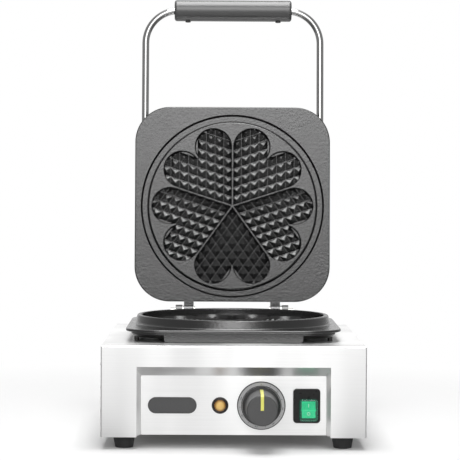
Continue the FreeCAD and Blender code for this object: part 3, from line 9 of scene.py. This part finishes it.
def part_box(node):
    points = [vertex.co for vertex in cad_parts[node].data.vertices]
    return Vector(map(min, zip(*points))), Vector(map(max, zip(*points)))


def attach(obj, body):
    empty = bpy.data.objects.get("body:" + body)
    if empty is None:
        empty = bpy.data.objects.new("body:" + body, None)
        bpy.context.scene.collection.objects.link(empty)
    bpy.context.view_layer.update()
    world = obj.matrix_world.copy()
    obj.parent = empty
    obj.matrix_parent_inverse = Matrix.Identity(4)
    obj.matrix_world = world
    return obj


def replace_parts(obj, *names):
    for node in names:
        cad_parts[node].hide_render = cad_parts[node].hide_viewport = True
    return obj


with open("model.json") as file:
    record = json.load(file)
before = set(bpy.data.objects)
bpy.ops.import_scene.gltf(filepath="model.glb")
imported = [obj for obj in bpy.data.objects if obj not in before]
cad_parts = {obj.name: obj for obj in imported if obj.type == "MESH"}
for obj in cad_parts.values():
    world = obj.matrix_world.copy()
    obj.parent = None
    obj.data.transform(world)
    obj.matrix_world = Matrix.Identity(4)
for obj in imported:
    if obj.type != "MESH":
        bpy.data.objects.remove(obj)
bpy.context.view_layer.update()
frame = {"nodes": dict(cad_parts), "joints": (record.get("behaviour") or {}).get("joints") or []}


# Sheet-steel case: the folded shell, the control tray, the bottom and rear plates, the heat shield and
# the cover over the upper heater. Bright stainless sheet with a fine brushed grain, pressed and screwed.
class Wire:
    """A socket in a finish's node tree. Arithmetic on it adds Math nodes."""

    def __init__(self, tree, socket=None):
        self.tree = tree
        self.socket = socket

    def node(self, kind, settings=None, inputs=None, output=0):
        """Add a node, set it up, feed its sockets, and return one of its outputs."""
        made = self.tree.nodes.new("ShaderNode" + kind)
        for name, value in (settings or {}).items():
            setattr(made, name, value)
        live = [socket for socket in made.inputs if socket.enabled]
        for name, value in (inputs or {}).items():
            socket = live[name] if isinstance(name, int) else next(one for one in live if one.name == name)
            if isinstance(value, Wire):
                self.tree.links.new(value.socket, socket)
            else:
                socket.default_value = value
        results = [socket for socket in made.outputs if socket.enabled]
        if isinstance(output, str):
            return Wire(self.tree, next(one for one in results if one.name == output))
        return Wire(self.tree, results[output] if results else None)

    def maths(self, operation, *terms):
        return self.node("Math", {"operation": operation}, dict(enumerate(terms)))

    def __add__(self, other):
        return self.maths("ADD", self, other)

    def __radd__(self, other):
        return self.maths("ADD", other, self)

    def __sub__(self, other):
        return self.maths("SUBTRACT", self, other)

    def __rsub__(self, other):
        return self.maths("SUBTRACT", other, self)

    def __mul__(self, other):
        return self.maths("MULTIPLY", self, other)

    def __rmul__(self, other):
        return self.maths("MULTIPLY", other, self)

    def above(self, edge):
        return self.maths("GREATER_THAN", self, edge)

    def noise(self, scale, stretch=(1, 1, 1), detail=3.0):
        """Noise in metres of the piece itself, drawn out where stretch is small."""
        place = self.node("TexCoord", output="Object")
        place = self.node("Mapping", {}, {"Vector": place, "Scale": stretch})
        return self.node("TexNoise", {}, {"Vector": place, "Scale": scale, "Detail": detail}, "Fac")

    def fade(self, low, high):
        """A smooth step from 0 at one value to 1 at another."""
        return self.node("MapRange", {"interpolation_type": "SMOOTHSTEP"},
                         {"Value": self, "From Min": low, "From Max": high})

    def tone(self, factor, dark, light):
        """A colour between two, by a factor."""
        return self.node("Mix", {"data_type": "RGBA"}, {"Factor": factor, "A": (*dark, 1), "B": (*light, 1)})

    def bump(self, height, depth, strength=1.0):
        return self.node("Bump", {}, {"Height": height, "Distance": depth, "Strength": strength})

    def shade(self, inputs):
        """Close the finish with one shader."""
        shader = self.node("BsdfPrincipled", {}, inputs)
        self.node("OutputMaterial", {}, {"Surface": shader})


def finish(name):
    """Start a finish of that name."""
    material = bpy.data.materials.new(name)
    material.use_nodes = True
    material.node_tree.nodes.clear()
    return Wire(material.node_tree)


def dress(name, *nodes):
    """Give CAD nodes a finish."""
    for node in nodes:
        slots = frame["nodes"][node].data.materials
        slots.clear()
        slots.append(bpy.data.materials[name])


grain_long, grain_fine = 9, 1500
grain_detail = 4.0
smudge_spread = (14, 14, 3)
smudge_edges = (0.32, 0.68)
side_facing = 0.6


def brushed(name, dark, light, rough):
    """Brushed sheet: the grain runs across the front and top, and front to back on the sides."""
    steel = finish(name)
    facing = steel.node("SeparateXYZ", {}, {"Vector": steel.node("TexCoord", output="Normal")}, "X")
    side = facing.maths("ABSOLUTE", facing).above(side_facing)
    across = steel.noise(1, (grain_long, grain_fine, grain_fine), grain_detail)
    lengthways = steel.noise(1, (grain_fine, grain_long, grain_fine), grain_detail)
    grain = across * (1 - side) + lengthways * side
    smudge = steel.noise(1, smudge_spread, detail=2.0).fade(*smudge_edges)
    steel.shade({
        "Base Color": steel.tone(grain * 0.5 + smudge * 0.5, dark, light),
        "Metallic": 1.0,
        "Roughness": rough + 0.1 * grain + 0.1 * smudge,
        "Normal": steel.bump(grain, 0.00002, 0.4),
    })


brushed("brushed steel", (0.74, 0.74, 0.74), (0.96, 0.96, 0.955), 0.26)
brushed("inner sheet", (0.5, 0.5, 0.5), (0.62, 0.62, 0.61), 0.26)
dress("brushed steel", "housing_shell", "control_panel", "rear_panel", "upper_cover")
dress("inner sheet", "bottom_plate", "heat_shield")


# Feet: black rubber cones with a rounded lower rim, moulded in one piece. Each is held to the bottom
# plate by one screw from below.
rubber = finish("foot rubber")
dust = rubber.noise(180)
rubber.shade({
    "Base Color": rubber.tone(dust, (0.012, 0.012, 0.013), (0.03, 0.03, 0.031)),
    "Roughness": 0.55 + 0.2 * dust,
    "Normal": rubber.bump(rubber.noise(1400), 0.00005, 0.4),
})
dress("foot rubber", "foot_front_left", "foot_front_right", "foot_rear_left", "foot_rear_right")


# Screws, nuts, standoffs, washers, clips and clamp bars: zinc-plated steel, turned or cut from bar, and
# bright with a slight yellow cast.
zinc = finish("zinc plate")
film = zinc.noise(350)
zinc.shade({
    "Base Color": zinc.tone(film, (0.50, 0.50, 0.47), (0.70, 0.69, 0.66)),
    "Metallic": 1.0,
    "Roughness": 0.24 + 0.2 * film,
    "Normal": zinc.bump(zinc.noise(2200), 0.00002, 0.4),
})
dress("zinc plate", "foot_screws", "m5_nuts", "rear_panel_screws", "terminal_screws", "lower_pan_screws",
      "plate_stud_nuts", "thermostat_screws", "bracket_bolts", "stop_bar_screws", "cover_standoffs",
      "cover_screws", "rod_set_screws", "hinge_washers", "hinge_pin_clips", "lower_heater_clamps",
      "upper_heater_clamps")


# Wiring parts in the case: a pale moulded terminal block, held by screws of its own, and a turned brass
# earth bolt.
block = finish("terminal moulding")
flow = block.noise(220)
block.shade({
    "Base Color": block.tone(flow, (0.58, 0.56, 0.49), (0.70, 0.68, 0.60)),
    "Roughness": 0.42 + 0.15 * flow,
    "Normal": block.bump(block.noise(1600), 0.00003, 0.3),
})
dress("terminal moulding", "terminal_block")
brass = finish("earth brass")
tarnish = brass.noise(260)
brass.shade({
    "Base Color": brass.tone(tarnish, (0.50, 0.34, 0.13), (0.72, 0.53, 0.24)),
    "Metallic": 1.0,
    "Roughness": 0.26 + 0.2 * tarnish,
})
dress("earth brass", "earth_bolt")


# Baking plates and the pan under the lower one: cast iron with a baked black coat. The skin keeps the
# fine grain of the sand it was cast in, worn smoother in patches. Blackened studs carry the lower plate.
iron = finish("black cast iron")
sand = iron.noise(1300, detail=4.0)
pits = iron.noise(420, detail=5.0)
worn = iron.noise(38)
iron.shade({
    "Base Color": iron.tone(sand * 0.6 + worn * 0.4, (0.002, 0.002, 0.002), (0.007, 0.007, 0.0069)),
    "Roughness": 0.09 + 0.12 * sand + 0.1 * worn,
    "Specular IOR Level": 0.82,
    "Normal": iron.bump(sand * 0.4 + pits * 0.6, 0.0005, 0.7),
})
dress("black cast iron", "lower_plate", "upper_plate", "lower_heater_pan")
dark_steel = finish("blackened steel")
scale = dark_steel.noise(300)
dark_steel.shade({
    "Base Color": dark_steel.tone(scale, (0.016, 0.016, 0.016), (0.045, 0.045, 0.044)),
    "Metallic": 0.6,
    "Roughness": 0.36 + 0.2 * scale,
    "Normal": dark_steel.bump(dark_steel.noise(1100), 0.00005, 0.4),
})
dress("blackened steel", "plate_studs")


# Heaters and thermostat: heat-stained hairpin tubes clamped to the plates, and a drawn copper bulb with
# its capillary. The thermostat's body and spindle, the cut-out and the lamp's body are nickel-plated.
stain = finish("heater tube")
heat = stain.noise(45)
stain.shade({
    "Base Color": stain.tone(heat, (0.10, 0.085, 0.07), (0.26, 0.23, 0.20)),
    "Metallic": 1.0,
    "Roughness": 0.38 + 0.25 * heat,
})
dress("heater tube", "lower_heater", "upper_heater")
nickel = finish("nickel plate")
dull = nickel.noise(300)
nickel.shade({
    "Base Color": nickel.tone(dull, (0.46, 0.45, 0.43), (0.64, 0.63, 0.60)),
    "Metallic": 1.0,
    "Roughness": 0.25 + 0.2 * dull,
})
dress("nickel plate", "thermostat_body", "thermostat_spindle", "thermal_cutout", "lamp_body")
copper = finish("drawn copper")
dark_copper = copper.noise(200)
copper.shade({
    "Base Color": copper.tone(dark_copper, (0.42, 0.20, 0.12), (0.68, 0.38, 0.25)),
    "Metallic": 1.0,
    "Roughness": 0.25 + 0.2 * dark_copper,
})
dress("drawn copper", "thermostat_bulb")


# Dial: a satin aluminium ring round the knob, painted dark along both its edges, with dark printed
# ticks and plain temperature numbers.
dial_low, dial_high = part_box("dial_ring")
dial_middle = (dial_low + dial_high) / 2
dial_radius = (dial_high.x - dial_low.x) / 2
dial_paint = 0.0009
dial_bright = 0.0041


def off_axis(wire, middle):
    """How far a point is from the line, front to back, through a middle."""
    place = wire.node("TexCoord", output="Object")
    apart = wire.node("VectorMath", {"operation": "SUBTRACT"}, {0: place, 1: tuple(middle)})
    flat = wire.node("VectorMath", {"operation": "MULTIPLY"}, {0: apart, 1: (1, 0, 1)})
    return wire.node("VectorMath", {"operation": "LENGTH"}, {0: flat}, "Value")


satin = finish("dial aluminium")
turned = satin.noise(900)
out_from_middle = off_axis(satin, dial_middle)
bare = (1 - out_from_middle.above(dial_radius - dial_paint)) * out_from_middle.above(
    dial_radius - dial_bright)
satin.shade({
    "Base Color": satin.tone(bare * (0.7 + 0.3 * turned), (0.012, 0.012, 0.012), (0.43, 0.43, 0.43)),
    "Metallic": bare,
    "Roughness": 0.3 + 0.12 * turned,
})
dress("dial aluminium", "dial_ring")
ink = finish("dial ink")
speck = ink.noise(2500)
ink.shade({
    "Base Color": ink.tone(speck, (0.012, 0.012, 0.012), (0.03, 0.03, 0.03)),
    "Roughness": 0.5 + 0.2 * speck,
})

knob_joint = next(joint for joint in frame["joints"] if joint["name"] == "knob_turn")
scale_sweep = knob_joint["range_deg"][1]
scale_steps = 12
tick_length = 0.0013
tick_width = 0.0004
print_height = 0.00012
number_height = 0.0021
number_step = 25
print_share = 0.885


def piece(name, mesh, finish_name, body):
    """A new piece that rides on a body."""
    made = bpy.data.objects.new(name, mesh)
    bpy.context.scene.collection.objects.link(made)
    mesh.materials.clear()
    mesh.materials.append(bpy.data.materials[finish_name])
    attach(made, body)
    return made


def add_block(mesh, size, place):
    """A block of that size, put in place by a matrix."""
    bmesh.ops.create_cube(mesh, size=1, matrix=place @ Matrix.Diagonal((*size, 1)))


def lettering(text, height):
    """The mesh of a short word, thin and centred, that reads from the front."""
    curve = bpy.data.curves.new("word", "FONT")
    curve.body = text
    curve.size = height
    curve.align_x = "CENTER"
    curve.align_y = "CENTER"
    curve.extrude = print_height / 2
    holder = bpy.data.objects.new("word", curve)
    bpy.context.scene.collection.objects.link(holder)
    word = bpy.data.meshes.new_from_object(holder)
    bpy.data.objects.remove(holder)
    word.transform(Matrix.Rotation(radians(90), 4, "X"))
    return word


def as_mesh(name, made):
    mesh = bpy.data.meshes.new(name)
    made.to_mesh(mesh)
    made.free()
    return mesh


scale_marks = bmesh.new()
for step in range(scale_steps + 1):
    turn = radians(scale_sweep * step / scale_steps)
    outward = Vector((sin(turn), 0, cos(turn)))
    spin = Matrix.Rotation(turn, 4, "Y")
    face = Vector((dial_middle.x, dial_low.y - print_height / 2, dial_middle.z))
    place = Matrix.Translation(face + outward * dial_radius * print_share) @ spin
    if step % 2:
        add_block(scale_marks, (tick_width, print_height, tick_length), place)
    else:
        number = lettering(str(step * number_step), number_height)
        number.transform(place)
        scale_marks.from_mesh(number)
        bpy.data.meshes.remove(number)
piece("dial_scale", as_mesh("dial_scale", scale_marks), "dial ink", "base")


# Knob: satin black phenolic moulding with a flared skirt and a pale yellow pointer let into its face. Its
# face is painted lighter grey and its skirt darker, as painted light and painted shade.
knob_low, knob_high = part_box("knob")
knob_middle = (knob_low + knob_high) / 2
knob_radius = (knob_high.x - knob_low.x) / 2
face_share, skirt_share = 0.72, 0.84
phenolic = finish("knob phenolic")
grain = phenolic.noise(700)
# Painted light and shade: the base colour is lighter on the knob's face and darker out on its skirt.
painted_face_light = 1 - off_axis(phenolic, knob_middle).fade(knob_radius * face_share, knob_radius * skirt_share)
phenolic.shade({
    "Base Color": phenolic.tone(grain * 0.4 + painted_face_light * 0.6, (0.014, 0.014, 0.014), (0.066, 0.066, 0.067)),
    "Roughness": 0.38 + 0.16 * grain,
    "Normal": phenolic.bump(phenolic.noise(1900), 0.00004, 0.35),
})
dress("knob phenolic", "knob")
yellow = finish("pointer yellow")
shade = yellow.noise(400)
yellow.shade({
    "Base Color": yellow.tone(shade, (0.62, 0.60, 0.10), (0.74, 0.72, 0.18)),
    "Roughness": 0.3 + 0.15 * shade,
})
dress("pointer yellow", "knob_pointer")


# Pilot lamp: a dark gloss bezel round a moulded amber lens whose face is cut into prisms. The bezel sits
# in a hole in the panel, and the lens in the bezel.
gloss = finish("bezel moulding")
smear = gloss.noise(500)
gloss.shade({
    "Base Color": gloss.tone(smear, (0.018, 0.015, 0.014), (0.036, 0.03, 0.028)),
    "Roughness": 0.2 + 0.18 * smear,
    "Specular IOR Level": 0.3,
})
dress("bezel moulding", "lamp_bezel")
lens_low, lens_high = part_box("lamp_lens")
lens_middle = (lens_low + lens_high) / 2
lens_radius = (lens_high.x - lens_low.x) / 2
glow_inner_share, glow_outer_share = 0.45, 1.05
# Painted light: the lens is painted lighter towards its middle and given a painted glow there, for its
# bright centre and highlight.
amber = finish("amber lens")
depth = amber.noise(260)
painted_glow = 1 - off_axis(amber, lens_middle).fade(
    lens_radius * glow_inner_share, lens_radius * glow_outer_share)
amber.shade({
    "Base Color": amber.tone(painted_glow * (0.8 + 0.4 * depth), (0.20, 0.075, 0.012), (0.68, 0.45, 0.15)),
    "Roughness": 0.06 + 0.1 * depth,
    "Emission Color": amber.tone(painted_glow, (0.0, 0.0, 0.0), (0.08, 0.045, 0.01)),
    "Emission Strength": 1.0,
})
lens_facets = 8
lens_ring_shares = ((1.0, 1.0), (1.0, 0.62), (0.8, 0.3), (0.45, 0.08), (0.0, 0.0))
lens = bmesh.new()
rows = []
for reach, depth_share in lens_ring_shares:
    y = lens_low.y + (lens_high.y - lens_low.y) * depth_share
    count = 1 if reach == 0 else lens_facets * 2
    row = []
    for step in range(count):
        turn = 2 * pi * (step + len(rows) % 2 / 2) / count
        row.append(lens.verts.new((lens_middle.x + lens_radius * reach * sin(turn), y,
                                   lens_middle.z + lens_radius * reach * cos(turn))))
    rows.append(row)
for outer, inner in zip(rows, rows[1:]):
    count = len(outer)
    for step in range(count):
        following = (step + 1) % count
        if len(inner) == 1:
            lens.faces.new((outer[step], outer[following], inner[0]))
        else:
            lens.faces.new((outer[step], outer[following], inner[step]))
            lens.faces.new((outer[following], inner[following], inner[step]))
lens.faces.new(rows[0])
bmesh.ops.recalc_face_normals(lens, faces=lens.faces)
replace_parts(piece("amber_lens", as_mesh("amber_lens", lens), "amber lens", "base"), "lamp_lens")


# Mains switch: a black snap-in frame, a green rocker that tips in it, and a clear moulded splash cover.
# The white marks are printed on the rocker's face.
black = finish("switch moulding")
sheen = black.noise(420)
black.shade({
    "Base Color": black.tone(sheen, (0.010, 0.010, 0.010), (0.018, 0.018, 0.018)),
    "Roughness": 0.22 + 0.16 * sheen,
    "Specular IOR Level": 0.2,
    "Normal": black.bump(black.noise(1700), 0.00002, 0.3),
})
dress("switch moulding", "switch_housing")
# Painted light: the rocker is given a painted green glow through its emission.
green = finish("rocker green")
milky = green.noise(300)
green.shade({
    "Base Color": green.tone(milky, (0.012, 0.46, 0.24), (0.03, 0.58, 0.32)),
    "Roughness": 0.3 + 0.1 * milky,
    "Specular IOR Level": 0.3,
    "Emission Color": green.tone(milky, (0.0, 0.30, 0.14), (0.01, 0.36, 0.18)),
    "Emission Strength": 0.35,
})
dress("rocker green", "switch_rocker")
# Painted light: the clear cover is given a painted green glow through its emission as well.
clear = finish("clear cover")
ripple = clear.noise(240)
clear.shade({
    "Base Color": clear.tone(ripple, (0.62, 0.92, 0.78), (0.80, 1.0, 0.90)),
    "Roughness": 0.04 + 0.06 * ripple,
    "Transmission Weight": 1.0,
    "IOR": 1.35,
    "Emission Color": clear.tone(ripple, (0.0, 0.03, 0.018), (0.004, 0.05, 0.03)),
    "Emission Strength": 0.6,
})
dress("clear cover", "switch_cover")
white = finish("rocker print")
worn_white = white.noise(1500)
white.shade({
    "Base Color": white.tone(worn_white, (0.72, 0.76, 0.73), (0.86, 0.88, 0.86)),
    "Roughness": 0.4 + 0.2 * worn_white,
})

mark_height = 0.0034
mark_width = 0.0007
mark_segments = 32
mark_stand = 0.00003
front_facing = -0.9


def rocker_face(upper):
    """Middle and outward direction of one half of the rocker's face."""
    low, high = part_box("switch_rocker")
    middle = (low.z + high.z) / 2
    found = [face for face in frame["nodes"]["switch_rocker"].data.polygons
             if face.normal.y < front_facing and (face.center.z > middle) == upper]
    area = sum(face.area for face in found)
    centre = sum((face.center * face.area for face in found), Vector()) / area
    outward = sum((face.normal * face.area for face in found), Vector()).normalized()
    return centre, outward


def on_face(centre, outward):
    """A matrix that lays a mark, drawn in X and Z, on a face."""
    across = Vector((1, 0, 0))
    up = outward.cross(across)
    rows = Matrix((across, -outward, up)).transposed()
    return Matrix.Translation(centre + outward * mark_stand) @ rows.to_4x4()


marks = bmesh.new()
add_block(marks, (mark_width, print_height, mark_height), on_face(*rocker_face(True)))
ring_place = on_face(*rocker_face(False))
rings = []
for reach in (mark_height / 2, mark_height / 2 - mark_width):
    for depth in (-print_height / 2, print_height / 2):
        rings.append([marks.verts.new(ring_place @ Vector((reach * cos(turn), depth, reach * sin(turn))))
                      for turn in (2 * pi * step / mark_segments for step in range(mark_segments))])
for first, second in ((0, 1), (1, 3), (3, 2), (2, 0)):
    for step in range(mark_segments):
        following = (step + 1) % mark_segments
        marks.faces.new((rings[first][step], rings[first][following],
                         rings[second][following], rings[second][step]))
bmesh.ops.recalc_face_normals(marks, faces=marks.faces)
piece("rocker_marks", as_mesh("rocker_marks", marks), "rocker print", "rocker")


# Badge place: a dark satin enamelled plate with round ends and a low rim, left bare. It lies on the
# control panel.
badge = finish("badge enamel")
fleck = badge.noise(900)
badge.shade({
    "Base Color": badge.tone(fleck, (0.045, 0.045, 0.046), (0.07, 0.07, 0.071)),
    "Roughness": 0.3 + 0.12 * fleck,
    "Normal": badge.bump(badge.noise(1800), 0.00003, 0.3),
})
dress("badge enamel", "badge_plate")


# Cord glands: moulded black nylon with a fine grain. Each goes through the sheet, and the ones in the
# case are held by a nut inside.
nylon = finish("gland nylon")
matt = nylon.noise(600)
nylon.shade({
    "Base Color": nylon.tone(matt, (0.014, 0.014, 0.014), (0.03, 0.03, 0.03)),
    "Roughness": 0.42 + 0.2 * matt,
    "Normal": nylon.bump(nylon.noise(1500), 0.00004, 0.4),
})
dress("gland nylon", "mains_gland", "gland_nuts", "base_conduit_gland", "lid_conduit_gland")


# Hinge: brackets and stop bar of dull grey pressed steel, bolted to the case, and turned pins of plated
# steel that carry the lid.
pressed = finish("pressed steel")
mill = pressed.noise(420)
pressed.shade({
    "Base Color": pressed.tone(mill, (0.07, 0.07, 0.07), (0.13, 0.13, 0.128)),
    "Metallic": 1.0,
    "Roughness": 0.28 + 0.2 * mill,
    "Normal": pressed.bump(pressed.noise(1300), 0.00004, 0.4),
})
dress("pressed steel", "hinge_bracket_left", "hinge_bracket_right", "lid_stop_bar")
dress("zinc plate", "hinge_pin_left", "hinge_pin_right")


# Handle: a polished bright rod bent to a U, with a satin black grip held by two dark screws on its inner
# side. Set screws hold the rod's ends in the lid.
bright = finish("polished rod")
drawn = bright.noise(70)
bright.shade({
    "Base Color": bright.tone(drawn, (0.33, 0.33, 0.33), (0.42, 0.42, 0.415)),
    "Metallic": 1.0,
    "Roughness": 0.06 + 0.06 * drawn,
})
dress("polished rod", "handle_rod")
grip = finish("grip phenolic")
swirl = grip.noise(1, (30, 900, 900))
grip.shade({
    "Base Color": grip.tone(swirl, (0.042, 0.042, 0.042), (0.058, 0.058, 0.058)),
    "Roughness": 0.28 + 0.12 * swirl,
    "Specular IOR Level": 0.72,
    "Normal": grip.bump(swirl, 0.00004, 0.3),
})
dress("grip phenolic", "handle_grip")
dress("blackened steel", "grip_screws")


# Studio: a white paper disc that keeps the shadow, a white surround that is dark to the left and right
# in reflections, a soft light overhead, a soft light high in front, and a camera at the lid's height.
floor_radius = 1.7
floor_segments = 96
floor_mesh = bmesh.new()
bmesh.ops.create_circle(floor_mesh, cap_ends=True, segments=floor_segments, radius=floor_radius)
floor = bpy.data.objects.new("floor", as_mesh("floor", floor_mesh))
bpy.context.scene.collection.objects.link(floor)


scatter_loss = 0.8
side_edges = (0.25, 0.6)


def studio_rays(wire):
    """Rays that show the white surround, and reflected rays alone. Scattered light sees little of it."""
    rays = {kind: wire.node("LightPath", output="Is %s Ray" % kind)
            for kind in ("Camera", "Glossy", "Transmission")}
    first = 1 - scatter_loss * wire.node("LightPath", output="Diffuse Depth").above(0.5)
    shown = wire.maths("MINIMUM", rays["Camera"] + rays["Glossy"] + rays["Transmission"], 1.0) * first
    return shown, rays["Glossy"] * (1 - rays["Camera"]) * first


shadow_edges = (0.27, 0.8)
least_reach = 0.001
paper_front_loss, paper_side_loss = 0.12, 0.66
paper = finish("white paper")
shown, reflected = studio_rays(paper)
spot = paper.node("NewGeometry", output="Position")
reach = paper.node("VectorMath", {"operation": "LENGTH"}, {0: spot}, "Value")
sideways = paper.maths("ABSOLUTE", paper.node("SeparateXYZ", {}, {"Vector": spot}, "X"))
aside = paper.maths("DIVIDE", sideways, reach + least_reach).fade(*side_edges)
matt_white = paper.node("BsdfDiffuse", {}, {"Color": (0.72, 0.72, 0.72, 1)})
lit_white = paper.node("Emission", {}, {
    "Color": (1, 1, 1, 1),
    "Strength": 1 - (paper_front_loss + paper_side_loss * aside) * reflected})
own_light = (shown - reflected) * reach.fade(*shadow_edges) + reflected
paper.node("OutputMaterial", {}, {"Surface": paper.node("MixShader", {}, {
    0: own_light, 1: matt_white, 2: lit_white})})
floor.data.materials.append(bpy.data.materials["white paper"])

plain_level = 0.3
surround_front_loss, surround_side_loss = 0.08, 0.7
world = bpy.data.worlds.new("studio")
bpy.context.scene.world = world
world.use_nodes = True
world.node_tree.nodes.clear()
surround = Wire(world.node_tree)
shown, reflected = studio_rays(surround)
towards = surround.node("TexCoord", output="Generated")
sideways = surround.maths("ABSOLUTE", surround.node("SeparateXYZ", {}, {"Vector": towards}, "X"))
aside = sideways.fade(*side_edges)
seen_level = 1 - (surround_front_loss + surround_side_loss * aside) * reflected
surround.node("OutputWorld", {}, {"Surface": surround.node("Background", {}, {
    "Color": (1, 1, 1, 1),
    "Strength": shown * seen_level * (1 - plain_level) + plain_level})})


def soft_light(name, place, aim, size, power):
    """A rectangular soft light at a place, turned to a point."""
    data = bpy.data.lights.new(name, "AREA")
    data.shape = "RECTANGLE"
    data.size, data.size_y = size
    data.energy = power
    light = bpy.data.objects.new(name, data)
    light.location = place
    light.rotation_euler = (Vector(aim) - Vector(place)).to_track_quat("-Z", "Y").to_euler()
    light.visible_camera = False
    bpy.context.scene.collection.objects.link(light)


soft_light("overhead", place=(0, 0, 1.9), aim=(0, 0.1, 0.2), size=(1.0, 1.5), power=38)
soft_light("front", place=(0, -3.2, 1.72), aim=(0, 0, 0.25), size=(2.2, 2.1), power=61)

camera_place = (-0.0176, -2.0355, 0.2638)
camera_pitch, camera_yaw, camera_roll = 1.369, 0.397, 0.287
camera_sensor, camera_lens = 36, 148.9
camera_data = bpy.data.cameras.new("camera")
camera_data.sensor_width = camera_sensor
camera_data.lens = camera_lens
camera = bpy.data.objects.new("camera", camera_data)
camera.matrix_world = (Matrix.Translation(camera_place) @ Matrix.Rotation(radians(-camera_yaw), 4, "Z")
                       @ Matrix.Rotation(radians(90 - camera_pitch), 4, "X")
                       @ Matrix.Rotation(radians(camera_roll), 4, "Z"))
bpy.context.scene.collection.objects.link(camera)
bpy.context.scene.camera = camera
bpy.context.scene.view_settings.view_transform = "Standard"
